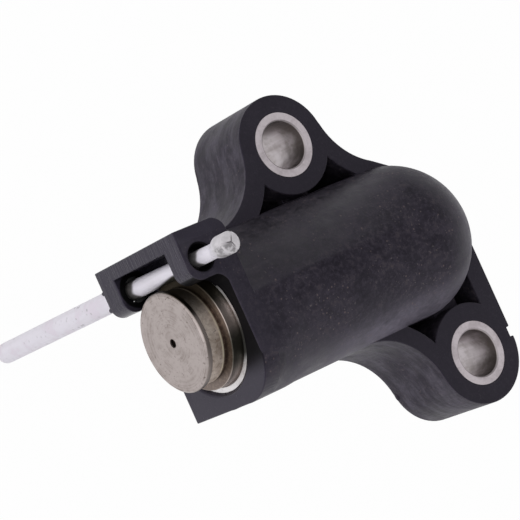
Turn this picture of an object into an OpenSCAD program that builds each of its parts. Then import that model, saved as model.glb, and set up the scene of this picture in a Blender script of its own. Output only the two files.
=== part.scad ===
// Hydraulic timing chain tensioner with a transport lock pin.
// Millimetres. Origin: midway between the bolt axes, on the mounting face.
// +X is the way the plunger moves out, +Z the way the bolts leave.

/* [Housing] */
// radius of the barrel
body_r = 11; // [10.2:0.1:13]
// height of the plunger axis over the mounting face
axis_h = 9.5; // [9.2:0.1:12]
// front face, measured from the bolt centre
front_x = 30.85; // [28:0.05:36]
// front face to the centre of the domed end
barrel_l = 34.5; // [32:0.1:38]
// thickness of the squared plate round the mouth
plate_t = 2.7; // [2:0.1:4]
// corner radius of that plate
plate_corner_r = 7; // [4:0.1:9]
// length over which the square corner fades into the barrel
fade_l = 11; // [6:0.5:16]

/* [Ears] */
// half of the bolt spacing along X
bolt_x = 7.9; // [7:0.1:9]
// half of the bolt spacing along Y
bolt_y = 18.2; // [17.8:0.1:21]
// height of both ears
ear_h = 12; // [9:0.1:13]
// outer radius of the upper ear round its sleeve
upper_boss_r = 7; // [6:0.05:7.3]
// outer radius of the lower ear round its sleeve
lower_boss_r = 7.15; // [6:0.05:7.3]
// sweep from the barrel into the front of the upper ear
upper_front_sweep_r = 9.9; // [8.5:0.1:11]
// sweep from the barrel into the back of the upper ear
upper_back_sweep_r = 10.3; // [9:0.1:11.5]
// angle at which that sweep runs straight on into the dome, in degrees
sweep_end = 32; // [28:1:36]
// sweep from the barrel into the front of the lower ear
lower_front_sweep_r = 10; // [8.5:0.1:11]
// wall between a sweep and its pocket
rib_t = 2.6; // [1.5:0.1:3]
// wall in front of the upper ear's front pocket
front_rib_t = 3; // [2:0.1:3.5]
// straight wall behind the lower ear
back_wall_t = 3.1; // [2:0.1:4]
// floor left under the pockets
pocket_floor = 2; // [1:0.1:4]
// depth of the slot between ear and barrel
slot_depth = 2.5; // [1:0.1:5]
// width of the low web under that slot
slot_web_w = 4.6; // [3:0.1:6]
// width of the nick left by the mould's gate
nick_w = 1.4; // [0.8:0.1:2]
// depth of that nick in the lower ear's back wall
nick_d = 0.5; // [0.2:0.05:1]
// how far the nick runs down from the ear's top
nick_h = 3; // [1:0.5:6]

/* [Lock bracket] */
// outer face of the bracket, measured from the plunger axis
bracket_out = 12.5; // [12:0.1:14]
// thickness of its outer wall
bracket_wall = 1.9; // [1.5:0.1:2.2]
// how far it stands out of the front face
bracket_reach = 5.1; // [4.5:0.05:7]
// thickness of the arm on the bolt-head side
near_arm_t = 3.6; // [2.5:0.1:5]
// thickness of the arm on the mounting side
far_arm_t = 3.6; // [2.2:0.1:3.8]
// arm ends, measured from the plunger axis
arm_end = 5.65; // [5.4:0.05:6.2]
// radius of the arms' front corners
arm_corner_r = 1.9; // [0.8:0.1:2.2]
// fillet between the near arm and the front face
arm_fillet_r = 1.8; // [0.6:0.1:2]
// radius of the bracket's back corner
bracket_corner_r = 2; // [1:0.1:2.6]

/* [Plunger and liner] */
// radius of the plunger in the liner
plunger_r = 7.7; // [7.2:0.05:7.9]
// radius of the plunger's head
head_r = 6.8; // [6.55:0.05:6.9]
// radius of the neck that the lock pin lies beside
neck_r = 6.5; // [5.9:0.05:6.6]
// thickness of the head
head_t = 0.8; // [0.5:0.1:1.2]
// length of the neck
neck_l = 2.6; // [2:0.1:3]
// how far the locked shoulder stands out of the front face
shoulder_out = 1.1; // [0.6:0.1:1.8]
// length of the plunger behind the shoulder
skirt_l = 18; // [15:0.1:19]
// radius of the hollow that holds the main spring
hollow_r = 5.9; // [5.7:0.05:6.2]
// closed end between hollow and shoulder
crown_t = 3; // [2:0.1:4]
// radius of the vent in the head
vent_r = 0.6; // [0.4:0.05:1]
// bevel round the head's edges
head_bevel = 0.25; // [0.1:0.05:0.4]
// bevel round the shoulder
shoulder_bevel = 0.1; // [0.05:0.01:0.2]
// running clearance of the plunger, on the radius
run_gap = 0.03; // [0.02:0.01:0.06]
// wall of the steel liner
liner_wall = 0.87; // [0.7:0.01:1.1]
// length of the liner
liner_l = 27; // [26:0.1:29]
// how far the liner lies behind the front face
liner_set = 0.55; // [0.1:0.05:1]
// widening of the bore's mouth in front of the liner
mouth_flare = 0.45; // [0.1:0.05:0.8]
// bevel that leads the plunger into the liner
liner_bevel = 0.2; // [0.05:0.05:0.4]

/* [Check valve] */
// thickness of the valve seat
seat_t = 2.5; // [1.8:0.1:3.5]
// radius of the oil hole in the seat
seat_hole_r = 1.5; // [1.2:0.05:1.7]
// radius of the ball
ball_r = 2; // [1.9:0.05:2.3]
// gap between the ball and the edge it closes
ball_gap = 0.03; // [0.02:0.01:0.06]
// inner radius of the ball's cage
cage_r = 2.6; // [2.5:0.05:2.8]
// sheet thickness of the cage
cage_t = 0.8; // [0.5:0.05:0.9]
// inner height of the cage
cage_h = 6.6; // [6:0.1:7.5]
// radius of the cage's flange under the main spring
cage_flange_r = 5.6; // [5.4:0.05:5.65]
// radius of the oil hole in the cage
cage_hole_r = 1; // [0.6:0.05:1.1]
// wire radius of the valve spring
valve_wire_r = 0.18; // [0.12:0.01:0.22]
// mean radius of the valve spring
valve_coil_r = 1.45; // [1.4:0.05:1.7]
// active turns of the valve spring
valve_turns = 3; // [2:1:5]

/* [Main spring] */
// wire radius
wire_r = 0.65; // [0.45:0.05:0.7]
// mean radius of the coils
coil_r = 4.7; // [4.6:0.05:4.9]
// turns between the closed ends
coil_turns = 7; // [5:1:10]
// gap between a spring's ends and their seats
spring_gap = 0.02; // [0.01:0.01:0.1]

/* [Oil feed] */
// radius of the inlet in the mounting face
inlet_r = 2.25; // [1.5:0.05:2.5]
// inlet, measured behind the bore's end
inlet_back = 5; // [4:0.1:6]
// radius of the chamber behind the valve
chamber_r = 3; // [2:0.1:4]

/* [Sleeves] */
// outer radius of a bolt sleeve
sleeve_r = 4.5; // [4:0.05:5]
// inner radius of a bolt sleeve
sleeve_hole_r = 3.3; // [3:0.05:3.6]
// bevel at the mouths of a sleeve
sleeve_bevel = 0.2; // [0.1:0.05:0.4]

/* [Lock pin] */
// radius at the thin end of the tapered shank
pin_r = 1.2; // [1.05:0.05:1.35]
// radius of the long end it is pulled by
handle_r = 1.5; // [1.35:0.05:1.55]
// how deep the shank lies in front of the shoulder
pin_bite = 0.68; // [0.5:0.02:0.8]
// gap between the shank and the shoulder
pin_gap = 0.19; // [0.08:0.01:0.2]
// play of the tip in the arms' holes, on the radius
pin_play = 0.25; // [0.2:0.01:0.3]
// widening at the mouth of the near arm's hole
hole_bevel = 0.4; // [0.1:0.05:0.5]
// lean of the pin in its holes, in degrees
pin_lean = 0.4; // [0:0.05:0.6]
// length of the pull end below the arm
handle_l = 35.9; // [25:0.1:45]
// shank length beyond the near arm
pin_out = 3.3; // [1:0.1:4]
// length of the crimped tip
tip_l = 3.8; // [3:0.1:7]
// length over which the shank widens into that tip
flare_l = 1.2; // [0.8:0.1:2.4]
// radius of the crimped tip
tip_r = 1.44; // [1.3:0.02:1.5]
// radius of the low crown at the tip's end
crown_r = 2.5; // [1.7:0.1:4]
// how far the crimp pushed the tip away from the plunger
tip_shift = 0.1; // [0:0.02:0.12]

/* [Hidden] */
$fn = 96;
// small overlaps that keep joined or cut faces from merely touching
lap = 0.05;
cut = 1;
// slight pull-in of flats that would otherwise be tangent to the barrel
ease = 0.05;
// slight proudness of the dome over the barrel
dome_r = body_r + ease;
side_y = body_r - ease;
dome_x = front_x - barrel_l;
plate_top = axis_h + body_r - 2 * ease;
liner_in_r = plunger_r + run_gap;
liner_out_r = liner_in_r + liner_wall;
liner_x = front_x - liner_set;
seat_x = liner_x - liner_l;
bore_end = seat_x - seat_t;
shoulder_x = front_x + shoulder_out;
head_x = shoulder_x + neck_l;
hollow_end = shoulder_x - crown_t;
ball_x = seat_x + sqrt(ball_r * ball_r - seat_hole_r * seat_hole_r) + ball_gap;
inlet_x = bore_end - inlet_back;
// the tapered shank's radius beside the plunger, and its half width at the shoulder's edge
pin_mid_r = handle_r + (pin_r - handle_r) * axis_h / (plate_top + pin_out);
pin_flank = sqrt(pin_bite * (2 * pin_mid_r - pin_bite));
pin_x = shoulder_x - shoulder_bevel + pin_flank + pin_gap;
pin_y = plunger_r - pin_bite + pin_mid_r;
pin_hole_r = handle_r + pin_play;
tip_end = plate_top + pin_out + tip_l;
// inner edge of the ears, inside the barrel's wall
root_depth = 2;
root_y = side_y - root_depth;
// pitch of a spring's closed end turns, in wire radii
closed_pitch = 2.12;
// clear width between a boss and each sweep beside it, and how far a sweep dips into the barrel's side
sweep_gap = 0.05;
sweep_sink = 0.2;

// points of the line that crosses between two circles, slightly inside both
function cross_line(c1, r1, c2, r2, side) =
    let (d = c2 - c1, turn = atan2(d[1], d[0]) + side * acos((r1 + r2) / norm(d)))
    [c1 + (r1 - ease) * [cos(turn), sin(turn)], c2 - (r2 - ease) * [cos(turn), sin(turn)]];

// centre of a sweep that leaves the barrel's side and runs past the boss
function sweep_centre(boss, boss_r, r, dir) =
    let (y = side_y + r - sweep_sink, reach = boss_r + r + sweep_gap)
    [boss[0] + dir * sqrt(reach * reach - (y - boss[1]) * (y - boss[1])), y];

// height of a coil's wire after t turns, with one nearly closed turn at each end
function coil_z(t, turns, span, wire) =
    let (close = closed_pitch * wire, pitch = (span - 2 * close) / turns)
    t < 1 ? t * close : t > turns + 1 ? span - (turns + 2 - t) * close : close + (t - 1) * pitch;

module along_x(x, r, l) {
    translate([x, 0, axis_h]) rotate([0, 90, 0]) cylinder(r = r, h = l);
}

// flat outline in Y and Z pushed along +X
module push_x(x, l) {
    translate([x, 0, 0]) rotate([90, 0, 90]) linear_extrude(l) children();
}

// closed-end compression spring along +Z from z = 0 to len, measured over the wire
module coil(r, wire, turns, len, sides, steps) {
    n = (turns + 2) * steps;
    span = len - 2 * wire;
    rings = [for (i = [0:n]) let (t = i / steps, a = 360 * t, z = wire + coil_z(t, turns, span, wire))
        for (j = [0:sides - 1]) let (b = 360 * j / sides, q = r + wire * cos(b))
            [q * cos(a), q * sin(a), z + wire * sin(b)]];
    skin = [for (i = [0:n - 1], j = [0:sides - 1]) let (k = (j + 1) % sides)
        [i * sides + j, i * sides + k, (i + 1) * sides + k, (i + 1) * sides + j]];
    polyhedron(rings, concat([[for (j = [sides - 1:-1:0]) j]], skin, [[for (j = [0:sides - 1]) n * sides + j]]));
}

// flat outline of the squared plate, seen from the front
module plate_front() {
    inner = plate_corner_r;
    translate([-bracket_out, 0]) square([bracket_out + side_y - inner, plate_top]);
    translate([-bracket_out, 0]) square([bracket_out + side_y, plate_top - inner]);
    translate([side_y - inner, plate_top - inner]) circle(inner + ease / 2);
}

// the same plate seen from above, with its round back corner
module plate_plan() {
    inner = bracket_corner_r;
    back = front_x - plate_t;
    translate([back + inner, -bracket_out]) square([plate_t - inner, bracket_out + side_y + cut]);
    translate([back, inner - bracket_out]) square([plate_t, bracket_out + side_y + cut - inner]);
    translate([back + inner, inner - bracket_out]) circle(inner + ease / 2);
}

module plate() {
    corner = [side_y - plate_corner_r, plate_top - axis_h - plate_corner_r];
    intersection() {
        linear_extrude(plate_top + cut) plate_plan();
        push_x(front_x - plate_t - cut, plate_t + cut) plate_front();
    }
    intersection() {
        push_x(front_x - fade_l, fade_l) plate_front();
        translate([front_x - fade_l, 0, axis_h]) cube([fade_l, body_r + cut, body_r + cut]);
        translate([front_x - fade_l, 0, axis_h]) rotate([0, 90, 0])
            cylinder(r1 = body_r - 6 * ease, r2 = norm(corner) + plate_corner_r + 4 * ease, h = fade_l);
    }
}

// round-topped barrel on straight sides, closed by a dome
module barrel() {
    along_x(dome_x, body_r, barrel_l);
    translate([dome_x, 0, axis_h]) sphere(dome_r);
    translate([dome_x, -side_y, 0]) cube([barrel_l, 2 * side_y, axis_h]);
    translate([dome_x, 0, 0]) cylinder(r = side_y + ease / 2, h = axis_h);
}

// plan of the upper ear, drawn with +Y away from the barrel
upper = [bolt_x, bolt_y];
upper_front = sweep_centre(upper, upper_boss_r, upper_front_sweep_r, 1);
upper_back = sweep_centre(upper, upper_boss_r, upper_back_sweep_r, -1);
upper_front_line = cross_line(upper, upper_boss_r, upper_front, upper_front_sweep_r, 1);
upper_back_line = cross_line(upper, upper_boss_r, upper_back, upper_back_sweep_r, -1);

// where the back sweep turns straight, and where that line ends inside the dome
upper_turn = upper_back + (upper_back_sweep_r - ease) * [sin(sweep_end), -cos(sweep_end)];
upper_end = [upper_turn[0] - (upper_turn[1] - root_y) / tan(sweep_end), root_y];

module upper_web() {
    polygon(concat(upper_front_line, [upper_front, [upper_front[0], root_y], upper_end, upper_turn,
        upper_back, upper_back_line[1], upper_back_line[0]]));
}

module upper_plan() {
    difference() {
        upper_web();
        translate(upper_front) circle(upper_front_sweep_r);
        translate(upper_back) circle(upper_back_sweep_r);
    }
    translate(upper) circle(upper_boss_r);
}

module upper_pockets() {
    difference() {
        upper_web();
        translate(upper_front) circle(upper_front_sweep_r + front_rib_t);
        translate(upper_back) circle(upper_back_sweep_r + rib_t);
        translate(upper) circle(upper_boss_r);
    }
}

// plan of the lower ear, which ends in a straight wall behind the dome
lower = [-bolt_x, bolt_y];
lower_back = lower[0] - lower_boss_r + ease;
lower_front = sweep_centre(lower, lower_boss_r, lower_front_sweep_r, 1);
lower_front_line = cross_line(lower, lower_boss_r, lower_front, lower_front_sweep_r, 1);

module lower_web() {
    polygon(concat(lower_front_line, [lower_front, [lower_front[0], root_y], [lower_back, 0],
        [lower_back, lower[1]], lower]));
}

module lower_plan() {
    difference() {
        lower_web();
        translate(lower_front) circle(lower_front_sweep_r);
    }
    translate(lower) circle(lower_boss_r);
}

module lower_pockets() {
    difference() {
        lower_web();
        translate(lower_front) circle(lower_front_sweep_r + rib_t);
        translate(lower) circle(lower_boss_r);
        translate([lower_back - cut, -cut]) square([back_wall_t + cut, bolt_y + 2 * cut]);
    }
}

// an ear from its plan: cored pockets, and a low web under the boss
module ear(centre) {
    difference() {
        linear_extrude(ear_h) children(0);
        translate([0, 0, pocket_floor]) linear_extrude(ear_h) children(1);
    }
    translate([centre[0] - slot_web_w / 2, root_y, 0])
        cube([slot_web_w, centre[1] - root_y, ear_h - slot_depth]);
}

// plan of an arm of the lock bracket, with its front corner rounded
module arm_plan() {
    r = arm_corner_r;
    back = front_x - lap;
    reach = bracket_reach + lap;
    translate([back, -bracket_out]) square([reach, bracket_out - arm_end - r]);
    translate([back, -bracket_out]) square([reach - r, bracket_out - arm_end]);
    translate([back + reach - r, -arm_end - r]) circle(r + ease / 2);
}

// plan of the fillet between an arm and the front face
module arm_fillet() {
    r = arm_fillet_r;
    difference() {
        translate([front_x - lap, -arm_end - lap]) square(r + lap);
        translate([front_x + r - ease, r - ease - arm_end]) circle(r);
    }
}

module bracket() {
    translate([front_x - lap, -bracket_out, 0]) cube([bracket_reach + lap, bracket_wall, plate_top]);
    linear_extrude(far_arm_t) arm_plan();
    translate([0, 0, plate_top - near_arm_t]) linear_extrude(near_arm_t) {
        arm_plan();
        arm_fillet();
    }
}

module housing() {
    color("#26252a") difference() {
        union() {
            barrel();
            plate();
            mirror([0, 1, 0]) ear(upper) { upper_plan(); upper_pockets(); }
            ear(lower) { lower_plan(); lower_pockets(); }
            bracket();
        }
        translate([-barrel_l, -2 * bolt_y, -2 * body_r]) cube([4 * barrel_l, 4 * bolt_y, 2 * body_r]);
        along_x(bore_end, liner_out_r, front_x - bore_end);
        translate([liner_x, 0, axis_h]) rotate([0, 90, 0])
            cylinder(r1 = liner_out_r - lap, r2 = liner_out_r + mouth_flare, h = liner_set);
        along_x(inlet_x, chamber_r, bore_end - inlet_x + lap);
        translate([inlet_x, 0, -cut]) cylinder(r = inlet_r, h = axis_h + cut);
        for (s = [1, -1]) translate([s * bolt_x, -s * bolt_y, -cut]) cylinder(r = sleeve_r, h = ear_h + 2 * cut);
        translate([lower_back - cut, bolt_y - nick_w, ear_h - nick_h]) cube([nick_d + cut, nick_w, nick_h + cut]);
        translate([pin_x, -pin_y, -cut]) cylinder(r = pin_hole_r, h = plate_top + 2 * cut);
        translate([pin_x, -pin_y, plate_top - hole_bevel])
            cylinder(r1 = pin_hole_r, r2 = pin_hole_r + 2 * hole_bevel, h = 2 * hole_bevel);
    }
}

// profile of radius and length turned round the plunger axis
module turned(x, profile) {
    translate([x, 0, axis_h]) rotate([0, 90, 0]) rotate_extrude() polygon(profile);
}

module cylinder_liner() {
    color("#d9d9de") turned(seat_x, [[liner_in_r, 0], [liner_out_r, 0], [liner_out_r, liner_l],
        [liner_in_r + liner_bevel, liner_l], [liner_in_r, liner_l - liner_bevel]]);
}

module plunger() {
    neck_end = skirt_l + neck_l;
    face = neck_end + head_t;
    color("#a39c97") turned(shoulder_x - skirt_l, [[hollow_r, 0], [plunger_r, 0],
        [plunger_r, skirt_l - shoulder_bevel], [plunger_r - shoulder_bevel, skirt_l], [neck_r, skirt_l],
        [neck_r, neck_end], [head_r, neck_end], [head_r, face - head_bevel], [head_r - head_bevel, face],
        [vent_r, face], [vent_r, skirt_l - crown_t], [hollow_r, skirt_l - crown_t]]);
}

module main_spring() {
    seat = seat_x + cage_t + spring_gap;
    color("#8c8c92") translate([seat, 0, axis_h]) rotate([0, 90, 0])
        coil(coil_r, wire_r, coil_turns, hollow_end - spring_gap - seat, 8, 20);
}

module valve_seat() {
    color("#9a9aa0") turned(bore_end, [[seat_hole_r, 0], [liner_out_r, 0], [liner_out_r, seat_t],
        [seat_hole_r, seat_t]]);
}

module check_ball() {
    color("#c8c8cc") translate([ball_x, 0, axis_h]) sphere(ball_r);
}

module valve_spring() {
    touch = ball_r + valve_wire_r + spring_gap;
    seat = ball_x + sqrt(touch * touch - valve_coil_r * valve_coil_r) - valve_wire_r;
    color("#b4b4ba") translate([seat, 0, axis_h]) rotate([0, 90, 0])
        coil(valve_coil_r, valve_wire_r, valve_turns, seat_x + cage_h - spring_gap - seat, 6, 16);
}

module valve_cage() {
    out = cage_r + cage_t;
    top = cage_h + cage_t;
    color("#aaa18c") turned(seat_x, [[cage_r, 0], [cage_flange_r, 0], [cage_flange_r, cage_t], [out, cage_t],
        [out, top], [cage_hole_r, top], [cage_hole_r, cage_h], [cage_r, cage_h]]);
}

module sleeve() {
    mouth = sleeve_hole_r + sleeve_bevel;
    color("#a8a0a4") rotate_extrude() polygon([[mouth, 0], [sleeve_r, 0], [sleeve_r, ear_h], [mouth, ear_h],
        [sleeve_hole_r, ear_h - sleeve_bevel], [sleeve_hole_r, sleeve_bevel]]);
}

module upper_sleeve() {
    translate([bolt_x, -bolt_y, 0]) sleeve();
}

module lower_sleeve() {
    translate([-bolt_x, bolt_y, 0]) sleeve();
}

// pin with a round pull end and a flared, crimped tip, leaning about the middle of the bracket
module lock_pin() {
    cap_r = handle_r + ease;
    tip_low = tip_end - tip_l;
    color("#dcd8e2") translate([pin_x, -pin_y, plate_top / 2]) rotate([-pin_lean, 0, 0])
        translate([0, 0, -plate_top / 2]) {
            translate([0, 0, cap_r - handle_l]) sphere(cap_r);
            translate([0, 0, cap_r - handle_l]) cylinder(r = handle_r, h = handle_l - cap_r - pin_play);
            translate([0, 0, -pin_play - lap])
                cylinder(r1 = handle_r - ease / 2, r2 = pin_r, h = tip_low + 2 * lap + pin_play);
            translate([0, -tip_shift, tip_low]) {
                cylinder(r1 = pin_r - tip_shift - ease, r2 = tip_r, h = flare_l);
                intersection() {
                    translate([0, 0, flare_l - lap]) cylinder(r = tip_r + ease / 5, h = tip_l);
                    translate([0, 0, tip_l - crown_r]) sphere(crown_r);
                }
            }
        }
}

housing();
cylinder_liner();
plunger();
main_spring();
valve_seat();
check_ball();
valve_spring();
valve_cage();
upper_sleeve();
lower_sleeve();
lock_pin();
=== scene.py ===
import math

import bmesh
import bpy
import numpy as np
from mathutils import Matrix, Vector


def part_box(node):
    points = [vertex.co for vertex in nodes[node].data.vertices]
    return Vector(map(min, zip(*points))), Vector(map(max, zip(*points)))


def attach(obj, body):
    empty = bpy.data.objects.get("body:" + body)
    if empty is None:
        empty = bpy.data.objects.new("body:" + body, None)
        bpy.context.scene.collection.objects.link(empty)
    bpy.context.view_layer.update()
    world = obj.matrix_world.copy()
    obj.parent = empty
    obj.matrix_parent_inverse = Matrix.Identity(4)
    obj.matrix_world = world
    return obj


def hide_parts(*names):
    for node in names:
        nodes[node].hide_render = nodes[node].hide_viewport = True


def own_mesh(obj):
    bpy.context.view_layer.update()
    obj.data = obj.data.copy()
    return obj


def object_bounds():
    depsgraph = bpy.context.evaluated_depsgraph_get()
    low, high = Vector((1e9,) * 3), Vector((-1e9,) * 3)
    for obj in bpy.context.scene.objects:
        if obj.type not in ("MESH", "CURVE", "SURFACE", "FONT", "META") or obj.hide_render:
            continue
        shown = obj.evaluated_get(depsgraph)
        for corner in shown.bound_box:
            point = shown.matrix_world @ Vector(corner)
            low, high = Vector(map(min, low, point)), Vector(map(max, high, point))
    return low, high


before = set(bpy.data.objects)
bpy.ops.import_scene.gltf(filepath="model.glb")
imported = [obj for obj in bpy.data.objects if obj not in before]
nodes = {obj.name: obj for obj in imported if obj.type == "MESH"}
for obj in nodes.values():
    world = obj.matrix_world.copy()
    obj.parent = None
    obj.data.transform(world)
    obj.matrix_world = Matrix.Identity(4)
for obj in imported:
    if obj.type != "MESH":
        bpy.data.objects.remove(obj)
cadLow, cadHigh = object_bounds()
scene = bpy.context.scene
scene.view_settings.view_transform = "Standard"
mm = 0.001
print("frame loaded with", len(nodes), "nodes")


class Wire:
    # a shader socket; sums on it add Math nodes, node() adds any other node
    def __init__(self, tree, socket=None):
        self.tree = tree
        self.socket = socket

    def node(self, kind, settings=None, inputs=None, out=0):
        made = self.tree.nodes.new(kind)
        for key, value in (settings or {}).items():
            setattr(made, key, value)
        for key, value in (inputs or {}).items():
            if isinstance(value, Wire):
                self.tree.links.new(value.socket, made.inputs[key])
            else:
                made.inputs[key].default_value = value
        return Wire(self.tree, made.outputs[out] if made.outputs else None)

    def maths(self, operation, first, second=0.0):
        return self.node("ShaderNodeMath", {"operation": operation}, {0: first, 1: second})

    def __add__(self, other):
        return self.maths("ADD", self, other)

    def __sub__(self, other):
        return self.maths("SUBTRACT", self, other)

    def __rsub__(self, other):
        return self.maths("SUBTRACT", other, self)

    def __mul__(self, other):
        return self.maths("MULTIPLY", self, other)

    __radd__ = __add__
    __rmul__ = __mul__

    # the larger of two values
    def most(self, other):
        return self.maths("MAXIMUM", self, other)

    # the distance from an axis, from this offset and the one square to it
    def away(self, other):
        return self.maths("SQRT", self * self + other * other)

    # 0 below low, 1 above high, smooth between
    def step(self, low, high):
        return self.node("ShaderNodeMapRange", {"interpolation_type": "SMOOTHSTEP"},
                         {"Value": self, "From Min": low, "From Max": high})

    # the same for a place on the object, with both ends in millimetres
    def past(self, low, high):
        return self.step(low * mm, high * mm)

    # the same for a noise, times its share
    def cut(self, low, high, share):
        return self.step(low, high) * share

    # the first colour where this value is 0, the second where it is 1
    def blend(self, first, second):
        # a Mix node's colours are its inputs 6 and 7 and its output 2
        return self.node("ShaderNodeMix", {"data_type": "RGBA", "clamp_factor": True},
                         {0: self, 6: first, 7: second}, out=2)

    def place(self):
        return self.node("ShaderNodeTexCoord", out="Object")

    def axes(self, vector):
        split = self.node("ShaderNodeSeparateXYZ", None, {0: vector}).socket.node
        return [Wire(self.tree, socket) for socket in split.outputs]

    def stretched(self, vector, scale):
        return self.node("ShaderNodeMapping", None, {"Vector": vector, "Scale": scale})

    def noise(self, vector, scale, detail, roughness=0.55):
        return self.node("ShaderNodeTexNoise", None, {
            "Vector": vector, "Scale": scale, "Detail": detail, "Roughness": roughness})

    # turned rings: noise that changes only with this distance from the axis
    def rings(self, scale):
        return self.node("ShaderNodeTexNoise", {"noise_dimensions": "1D"},
                         {"W": self, "Scale": scale, "Detail": 2})

    # small dots: cells whose own random number passes the rarity, near their centres
    def specks(self, vector, scale, rarity, size):
        core, rise = 0.5, 0.05  # full share of a dot's radius, soft span of the random number
        cells = self.node("ShaderNodeTexVoronoi", {"feature": "F1", "voronoi_dimensions": "3D"},
                          {"Vector": vector, "Scale": scale}, out="Distance")
        chance = self.axes(Wire(self.tree, cells.socket.node.outputs["Color"]))[0]
        return (1 - cells.step(size * core, size)) * chance.step(rarity, rarity + rise)

    # a value stored on the mesh's points
    def field(self, name):
        return self.node("ShaderNodeAttribute", {"attribute_name": name}, out="Fac")

    def bump(self, height, strength, depth):
        return self.node("ShaderNodeBump", None, {
            "Height": height, "Strength": strength, "Distance": depth})

    def surface(self, shader):
        self.node("ShaderNodeOutputMaterial", None, {"Surface": shader})


# noises cut to bands and summed: each row is a band's low end, high end and share
def layered(rows, *noises):
    total = noises[0].cut(*rows[0])
    for row, noise in zip(rows[1:], noises[1:]):
        total += noise.cut(*row)
    return total


def newMaterial(name):
    material = bpy.data.materials.new(name)
    material.use_nodes = True
    material.node_tree.nodes.clear()
    return material, Wire(material.node_tree)


def dress(obj, material):
    obj.data.materials.clear()
    obj.data.materials.append(material)


# black glass-filled nylon: a matt skin clouded by dust, tan specks and flow marks, with a pale
# painted sheen along the barrel's lower side, round its dome and on the ears' outer walls; even on
# the ears' tops, in darker painted shade, and the front faces, in lighter painted light, where the
# bracket has mould lines along Y; dull and black with painted shade inside the pin's holes and
# beside the plunger's mouth
plasticLook = {
    "deep": (0.0016, 0.0013, 0.0021, 1), "pale": (0.0400, 0.0345, 0.0465, 1),
    "warm": (0.0380, 0.0305, 0.0285, 1), "dust": (0.190, 0.163, 0.156, 1),
    # the first colour on the next line is a pale painted sheen
    "paintedSheen": (0.210, 0.193, 0.242, 1), "tan": (0.125, 0.094, 0.088, 1),
    # top is painted shade for the flat tops, front is painted light for the front faces
    "top": (0.0125, 0.0113, 0.0145, 1), "front": (0.0210, 0.0190, 0.0270, 1),
    # black is painted shade in the pin's holes and beside the plunger's mouth
    "line": (0.0560, 0.0510, 0.0680, 1), "black": (0.0015, 0.0014, 0.0016, 1),
    # noises: scale, detail and roughness, and how each axis is drawn out
    "cloudNoise": (230, 5, 0.66), "fineNoise": (1500, 4, 0.72), "grainNoise": (4200, 3, 0.6),
    "blotchNoise": (620, 5, 0.62), "blotchDraw": (0.6, 1.0, 1.0),
    "fibreNoise": (1700, 2), "fibreDraw": (0.3, 1.0, 1.0),
    "streakNoise": (380, 5, 0.68), "streakDraw": (0.45, 0.45, 1.6),
    "lineNoise": (3000, 2), "lineDraw": (1.0, 0.05, 1.0), "lineBand": (0.46, 0.58),
    "dustNoise": (2300, 4, 0.7), "dustBand": (0.60, 0.72), "dustCloud": (0.42, 0.56),
    "tanSpecks": (1600, 0.66, 0.28), "tanBase": 0.06, "tanCloud": (0.46, 0.58, 0.54),
    # bands and shares: cloud, blotch and fine; streak and blotch; cloud and fine; cloud and fine
    "tone": ((0.34, 0.70, 0.30), (0.36, 0.68, 0.25), (0.42, 0.66, 0.45)),
    "streakTone": ((0.42, 0.60, 0.40), (0.36, 0.68, 0.06)),
    "paintedSheenTone": ((0.36, 0.66, 0.30), (0.38, 0.68, 0.30)), "paintedSheenBase": 0.40,
    "haze": ((0.36, 0.66, 0.14), (0.40, 0.64, 0.12)),
    "warmFine": (0.50, 0.62), "warmBlotch": (0.44, 0.60, 0.5), "flatGrain": (0.5, 0.7, 0.25),
    # places in millimetres between which a mask rises
    "bracketTopZ": (20.15, 20.25), "bracketTopX": (24, 31), "plateX": (30.6, 30.8),
    "bracketX": (35.5, 35.7), "lineZ": (15, 17), "domeX": -3.65, "besideR": (10.75, 10.85),
    "earTopZ": (11.89, 11.93), "lowerY": (3.5, 9.5), "lowerTopZ": (15, 19), "lowerX": (6, 22),
    "domeEndX": (-14.0, -6.5), "wallReach": (30.5, 31.5), "wallY": (18.2, 19), "middleY": (-1, 1),
    "wallSlope": 1.05, "wallLag": 15.5, "mouthZ": (13, 16), "mouthY": (5.0, 8.5),
    "pinSpot": (33.22, -8.40), "nearHoleR": (1.85, 2.05), "nearHoleZ": (20.1, 20.3),
    "nearHoleSide": (-0.4, 0.4), "nearHoleSlant": 0.5, "farHoleR": (2.4, 2.6), "farHoleZ": (4, 5),
    # how much of each finish shows
    "lowerFade": 0.75, "paintedSheenShare": 0.62, "dustShare": 0.6, "lineShare": 0.3, "flatDust": 0.2,
    "topEven": 0.7, "topFront": 0.8, "evenShare": 0.92, "mouthShare": 0.9,
    "specular": 0.31, "tint": (0.80, 0.70, 1.0, 1), "dullSpecular": 0.06, "dullRough": 0.6,
    "skinRough": 0.42, "plateRough": 0.20, "evenRough": 0.8, "dustRough": 0.2,
    "rise": {"grain": 0.30, "fibre": 0.30, "blotch": 0.9, "fine": 0.7, "even": 0.85, "dust": 0.3,
             "line": 0.5},
    "bump": (0.6, 0.00006),
}


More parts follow.
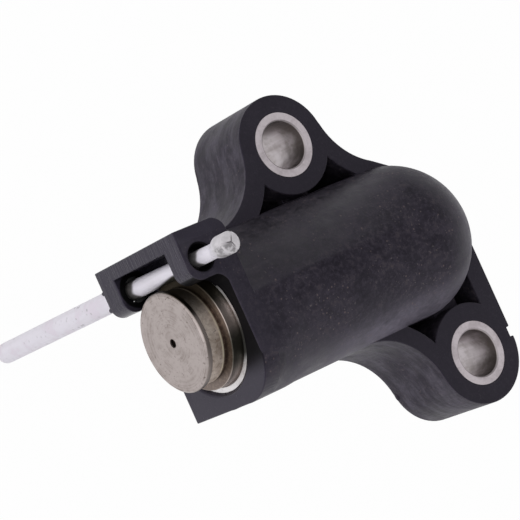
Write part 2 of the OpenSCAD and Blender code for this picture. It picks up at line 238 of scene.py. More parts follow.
def housingPlastic():
    look = plasticLook
    material, wire = newMaterial("housingPlastic")
    place = wire.place()
    x, y, z = wire.axes(place)
    cloud = wire.noise(place, *look["cloudNoise"])
    fine = wire.noise(place, *look["fineNoise"])
    grain = wire.noise(place, *look["grainNoise"])
    blotch = wire.noise(wire.stretched(place, look["blotchDraw"]), *look["blotchNoise"])
    fibre = wire.noise(wire.stretched(place, look["fibreDraw"]), *look["fibreNoise"])
    streak = wire.noise(wire.stretched(place, look["streakDraw"]), *look["streakNoise"])
    lines = wire.noise(wire.stretched(place, look["lineDraw"]), *look["lineNoise"])
    lines = lines.step(*look["lineBand"])
    dust = wire.noise(place, *look["dustNoise"]).step(*look["dustBand"])
    dust = dust * cloud.step(*look["dustCloud"])

    # the flat faces: bracket's top, mouth plate, bracket's front and the ears' tops
    onTop = z.past(*look["bracketTopZ"]) * x.past(*look["bracketTopX"])
    onPlate = x.past(*look["plateX"]) * (1 - onTop)
    onBracket = x.past(*look["bracketX"])
    behind = wire.maths("MINIMUM", x - look["domeX"] * mm, 0.0)
    beside = behind.away(y).past(*look["besideR"])  # outside the barrel and its dome
    onEar = z.past(*look["earTopZ"]) * beside
    even = onPlate.most(onEar.most(onTop * look["topEven"]))

    # the moulded skin, then the painted sheen, dust and specks on it
    skin = layered(look["tone"], cloud, blotch, fine).blend(look["deep"], look["pale"])
    warm = fine.step(*look["warmFine"]) * blotch.cut(*look["warmBlotch"])
    skin = warm.blend(skin, look["warm"])
    # painted sheen: pale on the barrel's lower side, round its dome and in streaks on the ears'
    # outer walls
    lower = y.past(*look["lowerY"]) * (1 - z.past(*look["lowerTopZ"])) * (1 - beside)
    lower = lower * (1 - x.past(*look["lowerX"]) * look["lowerFade"])
    domeEnd = (1 - x.past(*look["domeEndX"])) * (1 - beside)
    aside = wire.maths("ABSOLUTE", y)
    reach = x + aside * look["wallSlope"] + y.past(*look["middleY"]) * (look["wallLag"] * mm)
    outer = reach.past(*look["wallReach"]).most(aside.past(*look["wallY"]))
    swept = beside * outer * layered(look["streakTone"], streak, blotch)
    paintedSheen = lower.most(domeEnd).most(swept)
    paintedSheen = paintedSheen * (look["paintedSheenBase"] + layered(look["paintedSheenTone"], cloud, fine))
    skin = (paintedSheen * look["paintedSheenShare"]).blend(skin, look["paintedSheen"])
    skin = (dust * look["dustShare"]).blend(skin, look["dust"])
    tan = wire.specks(place, *look["tanSpecks"]) * (1 - beside)
    tan = tan * (look["tanBase"] + cloud.cut(*look["tanCloud"]))
    skin = tan.blend(skin, look["tan"])

    # painted shade and light: the tops take the darker colour, the front faces the lighter one
    flat = onPlate.most(onTop * look["topFront"]).blend(look["top"], look["front"])
    lined = onBracket * z.past(*look["lineZ"]) * lines * look["lineShare"]
    flat = lined.blend(flat, look["line"])
    flat = (grain.cut(*look["flatGrain"]) + dust * look["flatDust"]).blend(flat, look["pale"])

    rough = look["skinRough"] + onPlate * (look["plateRough"] - look["skinRough"])
    haze = layered(look["haze"], cloud, fine) * (1 - even * look["evenRough"])
    rise = look["rise"]
    texture = (blotch * rise["blotch"] + fine * rise["fine"]) * (1 - even * rise["even"])
    height = grain * rise["grain"] + fibre * rise["fibre"] + texture + dust * rise["dust"]
    height = height + lines * onBracket * rise["line"]
    shine = wire.node("ShaderNodeBsdfPrincipled", None, {
        "Base Color": (even * look["evenShare"]).blend(skin, flat),
        "Roughness": rough + haze + dust * look["dustRough"],
        "Normal": wire.bump(height, *look["bump"]),
        "Specular IOR Level": look["specular"], "Specular Tint": look["tint"]})

    # painted shade: dull and black on one side of the near hole, in the far hole, and beside the
    # mouth
    across, along = x - look["pinSpot"][0] * mm, y - look["pinSpot"][1] * mm
    fromPin = across.away(along)
    nearHole = (1 - fromPin.past(*look["nearHoleR"])) * (1 - z.past(*look["nearHoleZ"]))
    nearHole = nearHole * (across + along * look["nearHoleSlant"]).past(*look["nearHoleSide"])
    farHole = (1 - fromPin.past(*look["farHoleR"])) * (1 - z.past(*look["farHoleZ"]))
    byMouth = onPlate * (1 - onBracket) * z.past(*look["mouthZ"]) * (1 - y.past(*look["mouthY"]))
    paintedShadeMask = nearHole.most(farHole).most(byMouth * look["mouthShare"])
    dull = wire.node("ShaderNodeBsdfPrincipled", None, {
        "Base Color": look["black"], "Roughness": look["dullRough"],
        "Specular IOR Level": look["dullSpecular"]})
    wire.surface(wire.node("ShaderNodeMixShader", None, {0: paintedShadeMask, 1: shine, 2: dull}))
    return material


# turned plunger steel: a warm grey face with broken turned rings, strongest near its rim, then from
# front to back a head side in painted shade, a rough browned neck that ends in a ridge with a
# painted highlight, a pitted corner in painted shade at the shoulder and a smooth skirt with bands
# of painted light and shade; the side under the bracket is painted dark with shade
plungerLook = {
    "face": (0.45, 0.397, 0.385, 1), "faceDark": (0.27, 0.228, 0.212, 1),
    "head": (0.22, 0.188, 0.175, 1), "neck": (0.76, 0.675, 0.605, 1),
    "neckBrown": (0.36, 0.275, 0.220, 1), "ridge": (0.86, 0.80, 0.64, 1),
    "corner": (0.10, 0.070, 0.058, 1), "skirt": (0.44, 0.375, 0.345, 1),
    # both colours on the next line are painted shade: the skirt's dark between its lit bands, and
    # the side under the bracket
    "skirtDark": (0.085, 0.080, 0.066, 1), "stainAndShade": (0.050, 0.040, 0.026, 1),
    "pit": (0.12, 0.092, 0.082, 1),
    # noises: scale, detail and roughness
    "ringScale": 3000, "stainNoise": (420, 4, 0.6), "speckleNoise": (2000, 4, 0.65),
    "pitNoise": (1900, 3, 0.6), "pitBand": (0.62, 0.70),
    # places in millimetres between which a mask rises
    "axisZ": 9.5, "faceX": (35.15, 35.2), "headX": (34.45, 34.55), "neckX": (32.23, 32.47),
    "ridgeX": (32.54, 32.70), "flangeX": (31.90, 31.98), "rimR": (5.6, 6.3),
    "litY": (-3.5, -1.0), "litEndY": (0.5, 2.5), "lowY": (5.0, 7.0), "underY": (-5.6, -1.2),
    # bands and shares: stain and speckle on the face, speckle and stain on the neck
    "arcBand": (0.46, 0.58), "arcStain": (0.40, 0.54), "arcInner": 0.45, "arcRim": 0.55,
    "arcShare": 0.62, "faceTone": ((0.44, 0.66, 0.28), (0.50, 0.66, 0.25)),
    "neckTone": ((0.40, 0.66, 0.38), (0.38, 0.62, 0.50)),
    "ridgeBase": 0.35, "ridgeStain": (0.40, 0.60, 0.65), "cornerTone": (0.45, 0.65, 0.4),
    "skirtShare": 0.8, "skirtStain": (0.44, 0.62, 0.15), "underRidge": 0.55, "underShare": 0.92,
    "pitFace": 0.50, "pitRim": 0.30, "pitNeck": 0.75,
    "rough": {"head": 0.24, "face": 0.20, "neck": 0.24, "skirt": 0.16, "stainAndShade": 0.10},
    "rise": {"ring": 0.6, "speckle": 1.2, "pit": 0.4, "stainAndShade": 0.2}, "bump": (0.35, 0.00002),
}


def plungerSteel():
    look = plungerLook
    material, wire = newMaterial("plungerSteel")
    place = wire.place()
    x, y, z = wire.axes(place)
    radius = y.away(z - look["axisZ"] * mm)
    ring = radius.rings(look["ringScale"])
    stainAndShade = wire.noise(place, *look["stainNoise"])
    speckle = wire.noise(place, *look["speckleNoise"])
    pits = wire.noise(place, *look["pitNoise"]).step(*look["pitBand"])
    onFace = x.past(*look["faceX"])
    onHead = x.past(*look["headX"])
    onNeck = x.past(*look["neckX"])
    neckOnly = onNeck * (1 - onHead)
    onRidge = onNeck * (1 - x.past(*look["ridgeX"]))
    onFlange = x.past(*look["flangeX"])
    nearRim = radius.past(*look["rimR"])

    arcs = ring.step(*look["arcBand"]) * stainAndShade.step(*look["arcStain"])
    arcs = arcs * (look["arcInner"] + nearRim * look["arcRim"])
    faceTone = arcs * look["arcShare"] + layered(look["faceTone"], stainAndShade, speckle)
    faceColour = faceTone.blend(look["face"], look["faceDark"])
    neckTone = layered(look["neckTone"], speckle, stainAndShade)
    neckColour = neckTone.blend(look["neck"], look["neckBrown"])
    # painted highlight on the ridge
    bright = onRidge * (look["ridgeBase"] + stainAndShade.cut(*look["ridgeStain"]))
    neckColour = bright.blend(neckColour, look["ridge"])
    # painted shade in the corner at the shoulder, broken by speckle
    cornerColour = speckle.cut(*look["cornerTone"]).blend(look["corner"], look["neckBrown"])
    # painted light and shade on the skirt: lighter in two bands across y, darker between
    lit = y.past(*look["litY"]) * (1 - y.past(*look["litEndY"]))
    lit = lit.most(y.past(*look["lowY"]))
    skirtTone = lit * look["skirtShare"] + stainAndShade.cut(*look["skirtStain"])
    skirtColour = skirtTone.blend(look["skirtDark"], look["skirt"])
    sides = onNeck.blend(onFlange.blend(skirtColour, cornerColour), neckColour)
    # painted shade on the head's side
    sides = onHead.blend(sides, look["head"])
    # painted shade on the side under the bracket
    under = (1 - y.past(*look["underY"])) * (1 - onRidge * look["underRidge"])
    sides = (under * look["underShare"]).blend(sides, look["stainAndShade"])
    pitted = onFace * (look["pitFace"] + nearRim * look["pitRim"])
    marks = pits * (pitted + (1 - onFace) * neckOnly * look["pitNeck"])

    rough, rise = look["rough"], look["rise"]
    roughness = rough["head"] + onFace * rough["face"] + neckOnly * rough["neck"]
    roughness = roughness + (1 - onNeck) * rough["skirt"] + stainAndShade * rough["stainAndShade"]
    height = onFace * ring * rise["ring"] + neckOnly * speckle * rise["speckle"]
    height = height - marks * rise["pit"] + stainAndShade * rise["stainAndShade"]
    wire.surface(wire.node("ShaderNodeBsdfPrincipled", None, {
        "Base Color": marks.blend(onFace.blend(sides, faceColour), look["pit"]),
        "Roughness": roughness, "Normal": wire.bump(height, *look["bump"]), "Metallic": 1.0}))
    return material


# bright turned liner end: faint rings and a few marks, darkened by painted shade on a stretch of
# its upper side and on the side under the bracket
linerLook = {
    # the last colour on the next line is painted shade
    "bright": (0.82, 0.80, 0.81, 1), "dull": (0.58, 0.55, 0.55, 1), "oil": (0.055, 0.055, 0.045, 1),
    "ringScale": 6000, "markNoise": (700, 3), "markTone": (0.46, 0.66, 0.6),
    "axisZ": 9.5, "oilY": (-1.6, 2.2), "oilEndY": (4.6, 5.9), "oilUp": (0, 2),
    "bracketY": (-5.5, -3.2), "oilShare": 0.92,
    "metal": 0.9, "rough": 0.40, "markRough": 0.16, "bump": (0.2, 0.00002),
}


def linerSteel():
    look = linerLook
    material, wire = newMaterial("linerSteel")
    place = wire.place()
    y, z = wire.axes(place)[1:]
    up = z - look["axisZ"] * mm
    marks = wire.noise(place, *look["markNoise"])
    # painted shade: dark on a stretch of the upper side and on the side under the bracket
    oily = y.past(*look["oilY"]) * (1 - y.past(*look["oilEndY"])) * up.past(*look["oilUp"])
    oily = oily.most(1 - y.past(*look["bracketY"]))
    steel = marks.cut(*look["markTone"]).blend(look["bright"], look["dull"])
    wire.surface(wire.node("ShaderNodeBsdfPrincipled", None, {
        "Base Color": (oily * look["oilShare"]).blend(steel, look["oil"]),
        "Roughness": look["rough"] + marks * look["markRough"],
        "Normal": wire.bump(y.away(up).rings(look["ringScale"]), *look["bump"]),
        "Metallic": look["metal"]}))
    return material


# rolled sleeve steel: matt grey ends with soft smears, and a smoother bore with a dull brown
# painted shade near its upper mouth and on the side away from the lower ear
sleeveLook = {
    "end": (0.72, 0.658, 0.690, 1), "endDark": (0.56, 0.504, 0.528, 1),
    "bore": (0.56, 0.515, 0.535, 1), "boreDark": (0.38, 0.340, 0.340, 1),
    # the first colour on the next line is painted shade in the bore
    "paintedBoreShade": (0.075, 0.060, 0.050, 1), "mouth": (0.42, 0.38, 0.395, 1),
    "patchNoise": (520, 4, 0.6), "grainNoise": (2600, 3, 0.6),
    "dragNoise": (1300, 2), "dragDraw": (1.0, 1.0, 0.10),
    # bands and shares: patch and grain, drag and patch
    "endTone": ((0.42, 0.64, 0.7), (0.45, 0.66, 0.3)),
    "boreTone": ((0.42, 0.66, 0.4), (0.42, 0.62, 0.6)),
    # places in millimetres between which a mask rises; the painted shade's edge waves with the
    # patches
    "boreR": (3.32, 3.36), "mouthR": (3.46, 3.55), "boreShadeZ": (6.5, 11.5), "boreShadeWave": 4,
    "boreShadeSide": (1.6, 3.2), "sideShare": 0.85, "boreShadeShare": 0.85,
    "metal": 0.92, "rough": 0.26, "mouthRough": 0.24, "patchRough": 0.16,
    "rise": {"patch": 0.6, "grain": 0.4, "drag": 0.3}, "bump": (0.22, 0.00003),
}


def sleeveSteel(name, centreX, centreY):
    look = sleeveLook
    noiseMiddle = 0.5
    material, wire = newMaterial(name)
    place = wire.place()
    x, y, z = wire.axes(place)
    along = y - centreY
    radius = (x - centreX).away(along)
    patch = wire.noise(place, *look["patchNoise"])
    grain = wire.noise(place, *look["grainNoise"])
    drag = wire.noise(wire.stretched(place, look["dragDraw"]), *look["dragNoise"])
    onEnd = radius.past(*look["mouthR"])
    onMouth = radius.past(*look["boreR"])
    endColour = layered(look["endTone"], patch, grain).blend(look["end"], look["endDark"])
    boreColour = layered(look["boreTone"], drag, patch).blend(look["bore"], look["boreDark"])
    # painted shade: brown near the upper mouth and on the side away from the lower ear
    waved = z + (patch - noiseMiddle) * (look["boreShadeWave"] * mm)
    paintedBoreShade = waved.past(*look["boreShadeZ"]).most(
        (0 - along).past(*look["boreShadeSide"]) * look["sideShare"])
    boreColour = (paintedBoreShade * look["boreShadeShare"]).blend(boreColour, look["paintedBoreShade"])
    inner = onMouth.blend(boreColour, look["mouth"])
    rise = look["rise"]
    height = patch * rise["patch"] + grain * rise["grain"] + drag * rise["drag"]
    wire.surface(wire.node("ShaderNodeBsdfPrincipled", None, {
        "Base Color": onEnd.blend(inner, endColour),
        "Roughness": look["rough"] + onMouth * look["mouthRough"] + patch * look["patchRough"],
        "Normal": wire.bump(height, *look["bump"]), "Metallic": look["metal"]}))
    return material


# drawn, pressed or ground steel inside: one finish, with each steel's own colour, dark colour and
# roughness
innerLook = {
    "springSteel": ((0.42, 0.42, 0.44, 1), (0.22, 0.21, 0.21, 1), 0.30),
    "pressedSteel": ((0.50, 0.49, 0.47, 1), (0.30, 0.28, 0.26, 1), 0.36),
    "ballSteel": ((0.75, 0.75, 0.77, 1), (0.62, 0.62, 0.64, 1), 0.10),
    "patchNoise": (900, 4, 0.6), "patchTone": (0.35, 0.72, 0.8), "patchRough": 0.14,
    "grainNoise": (5200, 2), "grainDraw": (1.0, 1.0, 0.2), "bump": (0.2, 0.00002),
}


def innerSteel(name):
    look = innerLook
    colour, dark, rough = look[name]
    material, wire = newMaterial(name)
    place = wire.place()
    patch = wire.noise(place, *look["patchNoise"])
    grain = wire.noise(wire.stretched(place, look["grainDraw"]), *look["grainNoise"])
    wire.surface(wire.node("ShaderNodeBsdfPrincipled", None, {
        "Base Color": patch.cut(*look["patchTone"]).blend(colour, dark),
        "Roughness": rough + patch * look["patchRough"],
        "Normal": wire.bump(grain, *look["bump"]), "Metallic": 1.0}))
    return material


# natural nylon: milky white, with handling specks on the pull end, greyer and mottled at the
# crimped tip, most of all on one of its lobes, with painted shade in its creases, along the side
# towards the plunger and where the arms' holes hold it
pinLook = {
    "milk": (0.80, 0.768, 0.845, 1), "shade": (0.71, 0.680, 0.745, 1),
    "blush": (0.70, 0.630, 0.715, 1), "tip": (0.60, 0.575, 0.60, 1),
    # the first colour on the next line is painted shade in the creases
    "paintedCreaseShade": (0.09, 0.078, 0.085, 1), "scuff": (0.20, 0.188, 0.195, 1),
    # the next colour is painted shade by the plunger and in the arms' holes
    "oil": (0.030, 0.027, 0.021, 1),
    "cloudNoise": (260, 4, 0.6), "flowNoise": (1500, 3), "flowDraw": (1.0, 1.0, 0.06),
    "grainNoise": (3000, 2), "mottleNoise": (1100, 4, 0.7), "mottleBand": (0.42, 0.58),
    # places in millimetres between which a mask rises
    "tipZ": (24.0, 25.6), "handleZ": (-6, -1), "specksFootZ": (-15.0, -11.0),
    "specksArmZ": (-8.5, -5.5),
    # bands and shares: cloud and flow along the pin
    "bodyTone": ((0.42, 0.62, 0.4), (0.44, 0.62, 0.3)), "handleShade": 0.6,
    "blushCloud": (0.50, 0.60, 0.6), "handSpecks": (1200, 0.52, 0.30),
    "speckBase": 0.18, "speckMore": 0.42, "tipMottle": 0.22, "lobeBase": 0.25, "lobeMottle": 0.65,
    "tipShare": 0.9, "rough": 0.40, "grainRough": 0.12, "flowRise": 0.5, "grainRise": 0.5,
    "bump": (0.2, 0.00003),
    "scatter": {"Subsurface Weight": 0.15, "Subsurface Scale": 0.002,
                "Subsurface Radius": (0.5, 0.5, 0.5)},
}


def pinNylon():
    look = pinLook
    material, wire = newMaterial("pinNylon")
    place = wire.place()
    z = wire.axes(place)[2]
    cloud = wire.noise(place, *look["cloudNoise"])
    flow = wire.noise(wire.stretched(place, look["flowDraw"]), *look["flowNoise"])
    grain = wire.noise(place, *look["grainNoise"])
    mottle = wire.noise(place, *look["mottleNoise"]).step(*look["mottleBand"])
    onTip = z.past(*look["tipZ"])
    onHandle = 1 - z.past(*look["handleZ"])
    shaded = layered(look["bodyTone"], cloud, flow) + onHandle * look["handleShade"]
    body = shaded.blend(look["milk"], look["shade"])
    body = (onHandle * cloud.cut(*look["blushCloud"])).blend(body, look["blush"])
    handled = z.past(*look["specksFootZ"]) * (1 - z.past(*look["specksArmZ"]))
    specked = wire.specks(place, *look["handSpecks"]) * onHandle
    specked = specked * (look["speckBase"] + handled * look["speckMore"])
    body = specked.blend(body, look["scuff"])
    dark = wire.field("lobe") * (look["lobeBase"] + mottle * look["lobeMottle"])
    tip = (mottle * look["tipMottle"] + dark).blend(look["tip"], look["scuff"])
    colour = (onTip * look["tipShare"]).blend(body, tip)
    # painted shade in the creases
    colour = wire.field("paintedCreaseShade").blend(colour, look["paintedCreaseShade"])
    height = flow * look["flowRise"] + grain * look["grainRise"]
    # painted shade by the plunger and in the arms' holes is laid over the Base Color
    wire.surface(wire.node("ShaderNodeBsdfPrincipled", None, {
        "Base Color": wire.field("pinPaintedShade").blend(colour, look["oil"]),
        "Roughness": look["rough"] + grain * look["grainRough"],
        "Normal": wire.bump(height, *look["bump"]), **look["scatter"]}))
    return material


plastic = housingPlastic()
springSteel = innerSteel("springSteel")
pressedSteel = innerSteel("pressedSteel")
dress(nodes["plunger"], plungerSteel())
dress(nodes["cylinder_liner"], linerSteel())
dress(nodes["valve_seat"], pressedSteel)
dress(nodes["valve_cage"], pressedSteel)
dress(nodes["check_ball"], innerSteel("ballSteel"))
for nodeName, steelName in (("upper_sleeve", "upperSleeveSteel"),
                            ("lower_sleeve", "lowerSleeveSteel")):
    low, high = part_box(nodeName)
    centre = (low + high) / 2
    dress(nodes[nodeName], sleeveSteel(steelName, centre.x, centre.y))
print("materials on the steel pieces")


# a copy of a node's mesh, opened for editing with its loose triangles merged
def mergedCopy(nodeName, pieceName, gap):
    mesh = nodes[nodeName].data.copy()
    mesh.name = pieceName
    cage = bmesh.new()
    cage.from_mesh(mesh)
    bmesh.ops.remove_doubles(cage, verts=cage.verts, dist=gap * mm)
    return mesh, cage


# closes the editing, with smooth faces, and puts the mesh into the scene
def pieceFrom(pieceName, mesh, cage):
    for face in cage.faces:
        face.smooth = True
    cage.to_mesh(mesh)
    cage.free()
    piece = bpy.data.objects.new(pieceName, mesh)
    scene.collection.objects.link(piece)
    return piece


# the moulding: the node's copy, its flat faces joined again and its outward sharp edges rounded by
# a bevel, all but those round the pin's holes
housingForm = {
    "merge": 0.001, "flatDeg": 0.05, "edge": 0.15, "segments": 3, "sharpDeg": 33, "holeR": 2.6,
}


def softEdged(nodeName, pieceName):
    form = housingForm
    low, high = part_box("lock_pin")
    holeX, holeY = (low.x + high.x) / 2, (low.y + high.y) / 2
    sharp = math.radians(form["sharpDeg"])
    mesh, cage = mergedCopy(nodeName, pieceName, form["merge"])
    bmesh.ops.dissolve_limit(cage, angle_limit=math.radians(form["flatDeg"]),
                             verts=cage.verts, edges=cage.edges)
    weight = cage.edges.layers.float.new("bevel_weight_edge")
    for edge in cage.edges:
        middle = (edge.verts[0].co + edge.verts[1].co) / 2
        inHole = math.hypot(middle.x - holeX, middle.y - holeY) < form["holeR"] * mm
        edge[weight] = float(edge.calc_face_angle_signed(0.0) > sharp and not inHole)
    piece = pieceFrom(pieceName, mesh, cage)
    mesh.set_sharp_from_angle(angle=sharp)
    bevel = piece.modifiers.new("softEdges", "BEVEL")
    bevel.width = form["edge"] * mm
    bevel.segments = form["segments"]
    bevel.limit_method = "WEIGHT"
    bevel.use_clamp_overlap = False
    bevel.harden_normals = True
    return piece


moulding = softEdged("housing", "housingMoulding")
dress(moulding, plastic)
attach(moulding, "housing_body")
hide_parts("housing")
print("housing moulding with soft edges")


# coil springs: merged copies of their nodes, each with its own mesh; the share of its length left
# after the joint's travel is worked out and not used
springForm = {
    "merge": 0.001, "sharpDeg": 40,
    "coils": {
        "mainSpringWire": {"node": "main_spring", "joint": "plunger_slide",
                           "fixedX": 4.12, "travel": 3.0},
        "valveSpringWire": {"node": "valve_spring", "joint": "ball_lift",
                            "fixedX": 9.88, "travel": 0.8},
    },
}


def coilSpring(pieceName, coil):
    mesh, cage = mergedCopy(coil["node"], pieceName, springForm["merge"])
    piece = pieceFrom(pieceName, mesh, cage)
    mesh.set_sharp_from_angle(angle=math.radians(springForm["sharpDeg"]))
    dress(piece, springSteel)
    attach(piece, "housing_body")
    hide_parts(coil["node"])
    low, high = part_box(coil["node"])
    fixed = coil["fixedX"] * mm
    length = max(high.x - fixed, fixed - low.x)
    1 - coil["travel"] * mm / length
    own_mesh(piece)


for springName, coil in springForm["coils"].items():
    coilSpring(springName, coil)


# a closed surface from a grid of points: columns run round, rows along, both ends meet in a pole
def closedSurface(name, grid, fields=None):
    poleGap = 1e-7
    rows, columns = grid.shape[:2]
    index = np.arange(rows * columns).reshape(rows, columns)
    right = np.roll(index, -1, axis=1)
    quads = np.stack([index[:-1], right[:-1], right[1:], index[1:]], -1).reshape(-1, 4)
    mesh = bpy.data.meshes.new(name)
    mesh.from_pydata(grid.reshape(-1, 3).tolist(), [], quads.tolist())
    for field, values in (fields or {}).items():
        layer = mesh.attributes.new(field, "FLOAT", "POINT")
        layer.data.foreach_set("value", values.reshape(-1).astype(np.float32))
    cage = bmesh.new()
    cage.from_mesh(mesh)
    bmesh.ops.remove_doubles(cage, verts=cage.verts, dist=poleGap)
    bmesh.ops.recalc_face_normals(cage, faces=cage.faces)
    return pieceFrom(name, mesh, cage)


# 0 below low, 1 above high, smooth between
def smooth(value, low, high):
    t = np.clip((value - low) / (high - low), 0, 1)
    return t * t * (3 - 2 * t)


# lock pin, in millimetres: round sections along a leaning axis. The radius is even on the pull end,
# falls evenly along the shank, flares into the tip and closes in a low crown, which three creases
# press in, with painted shade in them. Painted shade lies on the side towards the plunger, wider
# the nearer it is to the tip, and in ragged bands where the arms' holes hold the pin
pinForm = {
    "leanDeg": 0.40, "midZ": 10.2, "inset": 0.02, "footEase": 0.05,  # the solid's foot is wider
    "handleR": 1.5, "handleTop": -0.25, "shankR": 1.31, "thinR": 0.98,
    "tipLow": 23.7, "flare": 1.2, "flareEase": (0.4, 0.2), "tipR": 1.43, "tipShift": 0.1,
    "crown": 0.45, "crownPower": 0.8, "columns": 144,
    "rows": {"foot": 16, "handle": 60, "shank": 120, "flare": 60, "end": 44},
    "rowGap": {"foot": 0.3, "step": 0.1, "flare": 0.1, "crown": 0.06},
    # creases, seen from the tip's middle
    "creaseDeg": (-119, 115, -7), "creaseWide": 0.09, "creaseDeep": 0.16, "creaseLong": 1.15,
    "creaseCore": 0.4, "creaseOut": 0.3, "creaseBack": -0.1, "sideDent": 0.05,
    "endRise": (-0.05, 0.2), "sideRise": (-0.4, 0.6),
    # painted shade and the darker lobe
    "paintedShadeLow": 8.0, "paintedShadeHigh": 17.0, "paintedShadeEdge": (1.20, 0.55), "paintedShadeGrow": 1.6,
    "paintedShadeSoft": 0.16, "paintedShadeFade": 1.0, "paintedShadeTop": (16.5, 17.5),
    "ragged": ((0.22, 2, 1), (0.12, 5, 0)),  # height, waves round the pin, turn
    "farArm": ((-1.2, 0.4), (4.3, 5.1), 0.93), "nearArm": ((16.7, 17.9), (20.35, 20.95), 0.88),
    "lobeDeg": 54, "lobeFacing": (0.45, 0.8), "lobeRise": (-0.6, 0.4), "lobeRim": (1.3, 1.42),
}


# heights and radii of the pin's sections, from the rounded foot to the crown's pole
def pinSections(bottom, crownLow):
    form, rows, gap = pinForm, pinForm["rows"], pinForm["rowGap"]
    tipLow, thinR = form["tipLow"], form["thinR"]
    foot = np.linspace(0, math.pi / 2, rows["foot"])
    footR = form["handleR"] * np.sin(foot)
    footZ = bottom + form["inset"] + form["handleR"] * (1 - np.cos(foot))
    handleZ = np.linspace(footZ[-1] + gap["foot"], form["handleTop"] - gap["step"], rows["handle"])
    handleR = np.full(rows["handle"], form["handleR"])
    shankZ = np.linspace(form["handleTop"], tipLow - gap["flare"], rows["shank"])
    fall = (shankZ - shankZ[0]) / (tipLow - shankZ[0])
    shankR = form["shankR"] + (thinR - form["shankR"]) * fall
    flareZ = np.linspace(tipLow, crownLow - gap["crown"], rows["flare"])
    early, late = form["flareEase"]
    spread = smooth(flareZ, tipLow - early, tipLow + form["flare"] + late)
    flareR = thinR + (form["tipR"] - thinR) * spread
    end = np.linspace(0, math.pi / 2, rows["end"])
    endR = form["tipR"] * np.cos(end) ** form["crownPower"]
    endR[-1] = 0
    endZ = crownLow + form["crown"] * np.sin(end)
    heights = np.concatenate([footZ, handleZ, shankZ, flareZ, endZ])
    return heights, np.concatenate([footR, handleR, shankR, flareR, endR])


# how much painted shade lies on each point: a stripe past an edge that moves in, and one band in
# each arm
def pinShadeAmount(z, angle, across):
    form = pinForm
    share = (z - form["paintedShadeLow"]) / (form["paintedShadeHigh"] - form["paintedShadeLow"])
    first, last = form["paintedShadeEdge"]
    edge = first + (last - first) * np.clip(share * form["paintedShadeGrow"], 0, 1)
    oil = smooth(across, edge - form["paintedShadeSoft"], edge + form["paintedShadeSoft"])
    fade = form["paintedShadeFade"]
    oil = oil * smooth(z, form["paintedShadeLow"] - fade, form["paintedShadeLow"] + fade)
    oil = oil * (1 - smooth(z, *form["paintedShadeTop"]))
    ragged = z + sum(tall * np.sin(waves * angle + turn) for tall, waves, turn in form["ragged"])
    for start, stop, most in (form["farArm"], form["nearArm"]):
        band = smooth(ragged, *start) * (1 - smooth(ragged, *stop))
        oil = np.maximum(oil, band * most)
    return oil


def lockPin():
    form = pinForm
    low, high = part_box("lock_pin")
    lean = math.tan(math.radians(form["leanDeg"]))
    bottom, top = low.z / mm, high.z / mm - form["inset"]
    axisX = (low.x + high.x) / 2 / mm
    # the box's least y is the foot's, which leans furthest from the plunger
    axisY = low.y / mm + form["handleR"] + form["footEase"] - lean * (bottom - form["midZ"])
    tipLow, tipFull, crownLow = form["tipLow"], form["tipLow"] + form["flare"], top - form["crown"]
    heights, radii = pinSections(bottom, crownLow)
    angle = np.linspace(0, 2 * math.pi, form["columns"], endpoint=False)[None, :]
    z = heights[:, None] + 0 * angle
    radius = radii[:, None] + 0 * angle

    dent = np.zeros_like(z)
    for deg in form["creaseDeg"]:
        turn = angle - math.radians(deg)
        groove = np.exp(-(np.sin(turn) * radius / form["creaseWide"]) ** 2)
        dent = np.maximum(dent, np.where(np.cos(turn) > form["creaseBack"], groove, 0))
    onEnd = smooth(z, *(crownLow + rise for rise in form["endRise"]))
    onSide = smooth(z, *(tipFull + rise for rise in form["sideRise"]))
    radius = radius * (1 - form["sideDent"] * dent * onSide)
    across = radius * np.sin(angle)

    oil = pinShadeAmount(z, angle, across)
    facing = np.cos(angle - math.radians(form["lobeDeg"]))
    lobe = smooth(facing, *form["lobeFacing"])
    lobe = lobe * smooth(z, *(tipFull + rise for rise in form["lobeRise"]))
    lobe = lobe * (1 - smooth(radius, *form["lobeRim"]) * onEnd)
    fade = 1 - smooth(radius, form["creaseLong"] * form["creaseCore"], form["creaseLong"])
    # painted shade in the creases on the crown
    paintedCreaseShade = np.clip(dent * onEnd * fade, 0, 1) ** 2

    x = axisX + radius * np.cos(angle)
    shift = form["tipShift"] * smooth(z, tipLow, tipFull)
    y = axisY - shift + lean * (z - form["midZ"]) + across
    deep = form["creaseOut"] + (1 - form["creaseOut"]) * fade
    z = z - form["creaseDeep"] * dent * onEnd * deep
    return closedSurface("lockPinNylon", np.stack([x, y, z], -1) * mm,
                         {"paintedCreaseShade": paintedCreaseShade, "pinPaintedShade": oil, "lobe": lobe})


pin = lockPin()
dress(pin, pinNylon())
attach(pin, "pin_body")
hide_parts("lock_pin")
print("lock pin with its crimped tip")


# small lumps of flash left at mould joints, each an uneven ellipsoid of rows from pole to pole,
# with its centre and half sizes in millimetres: two below the far arm beside the pin, one on the
# bracket's outer edge and one at the lower ear's foot
flashForm = {
    "rows": 25, "columns": 32, "uneven": 0.10, "waves": 3,
    "lumps": {
        "flashByPin": ((35.60, -9.65, -0.20), (0.30, 0.30, 0.50)),
        "flashUnderPin": ((35.60, -7.25, -0.25), (0.30, 0.32, 0.50)),
        "flashOnBracket": ((35.68, -12.05, 16.05), (0.22, 0.30, 0.35)),
        "flashOnEar": ((-0.98, 19.30, 0.40), (0.34, 0.75, 0.38)),
    },
}


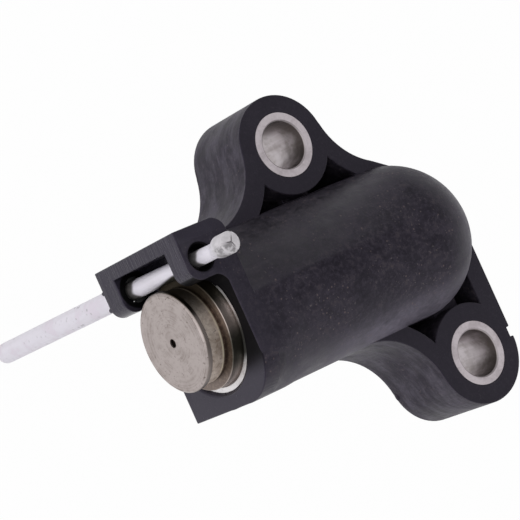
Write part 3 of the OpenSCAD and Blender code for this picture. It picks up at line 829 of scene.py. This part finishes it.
def flashLump(name, centre, size):
    form = flashForm
    polar = np.linspace(0, math.pi, form["rows"])[:, None]
    turn = np.linspace(0, 2 * math.pi, form["columns"], endpoint=False)[None, :]
    wave = np.sin(form["waves"] * turn + 1) * np.sin(polar) * np.sin(2 * polar)
    wide = (1 + form["uneven"] * wave) * np.sin(polar)
    x = centre[0] + size[0] * wide * np.cos(turn)
    y = centre[1] + size[1] * wide * np.sin(turn)
    z = centre[2] + size[2] * np.cos(polar) + 0 * turn
    return closedSurface(name, np.stack([x, y, z], -1) * mm)


for flashName, (centre, size) in flashForm["lumps"].items():
    lump = flashLump(flashName, centre, size)
    dress(lump, plastic)
    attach(lump, "housing_body")
print("flash lumps on the moulding")


# soft light from three sides, and a pale floor that shows white to the camera and to gloss
studio = {
    "floorGap": 31.5, "floorSize": 3.0, "floorTone": (0.86, 0.86, 0.87, 1), "whiteShare": 0.97,
    "white": (1, 1, 1, 1), "skyLow": 1.0, "skyHigh": 0.50, "skyBand": (0.0, 0.4),
    "aim": (0.01, 0, 0.01),
    "lamps": (
        ("keyLamp", (0.75, -0.15, 0.60), 1.20, 5.0),  # name, place, size, power
        ("sideLamp", (-0.20, 0.85, 0.35), 0.70, 1.0),
        ("backLamp", (-0.75, 0.20, 0.35), 0.60, 0.45),
    ),
}


def floorPiece():
    size, level = studio["floorSize"], cadLow.z - studio["floorGap"] * mm
    mesh = bpy.data.meshes.new("floor")
    corners = [(-size, -size, level), (size, -size, level),
               (size, size, level), (-size, size, level)]
    mesh.from_pydata(corners, [], [(0, 1, 2, 3)])
    floor = bpy.data.objects.new("floor", mesh)
    scene.collection.objects.link(floor)
    material, wire = newMaterial("floorPaper")
    seen = wire.node("ShaderNodeLightPath", out="Is Camera Ray")
    gloss = wire.node("ShaderNodeLightPath", out="Is Glossy Ray")
    clear = wire.node("ShaderNodeLightPath", out="Is Transmission Ray")
    share = seen.most(gloss.most(clear)) * studio["whiteShare"]
    paper = wire.node("ShaderNodeBsdfDiffuse", None, {"Color": studio["floorTone"]})
    white = wire.node("ShaderNodeEmission", None, {"Color": studio["white"], "Strength": 1.0})
    wire.surface(wire.node("ShaderNodeMixShader", None, {0: share, 1: paper, 2: white}))
    dress(floor, material)


def skyAndLamps():
    world = bpy.data.worlds.new("studioSky")
    scene.world = world
    world.use_nodes = True
    world.node_tree.nodes.clear()
    wire = Wire(world.node_tree)
    upward = wire.axes(wire.node("ShaderNodeTexCoord", out="Generated"))[2]
    level = upward.step(*studio["skyBand"])
    tone = level * (studio["skyHigh"] - studio["skyLow"]) + studio["skyLow"]
    seen = wire.node("ShaderNodeLightPath", out="Is Camera Ray")
    sky = wire.node("ShaderNodeBackground", None, {
        "Color": studio["white"], "Strength": seen + (1 - seen) * tone})
    wire.node("ShaderNodeOutputWorld", None, {"Surface": sky})
    for name, spot, size, power in studio["lamps"]:
        light = bpy.data.lights.new(name, "AREA")
        light.size = size
        light.energy = power
        lamp = bpy.data.objects.new(name, light)
        lamp.location = spot
        toAim = Vector(studio["aim"]) - Vector(spot)
        lamp.rotation_euler = toAim.to_track_quat("-Z", "Y").to_euler()
        scene.collection.objects.link(lamp)


floorPiece()
skyAndLamps()

# the photograph's eye: place, the point it looks at, and the roll that lays the barrel aslant
eye = {
    "place": (0.19616, 0.00121, 0.25671), "target": (0.017512, -0.005388, 0.0095),
    "rollDeg": 64.05, "lens": 160.268, "sensor": 36, "near": 0.01,
}


def photoCamera():
    place = Vector(eye["place"])
    back = (place - Vector(eye["target"])).normalized()
    level = Vector((0, 0, 1)).cross(back).normalized()
    above = back.cross(level)
    roll = math.radians(eye["rollDeg"])
    right = level * math.cos(roll) + above * math.sin(roll)
    up = back.cross(right)
    lens = bpy.data.cameras.new("photoEye")
    lens.lens = eye["lens"]
    lens.sensor_width = eye["sensor"]
    lens.clip_start = eye["near"]
    camera = bpy.data.objects.new("photoEye", lens)
    turn = Matrix((right, up, back)).transposed()
    camera.matrix_world = Matrix.Translation(place) @ turn.to_4x4()
    scene.collection.objects.link(camera)
    scene.camera = camera


photoCamera()
print("studio and camera set")

print("cad box", [round(v, 5) for v in (*cadLow, *cadHigh)])
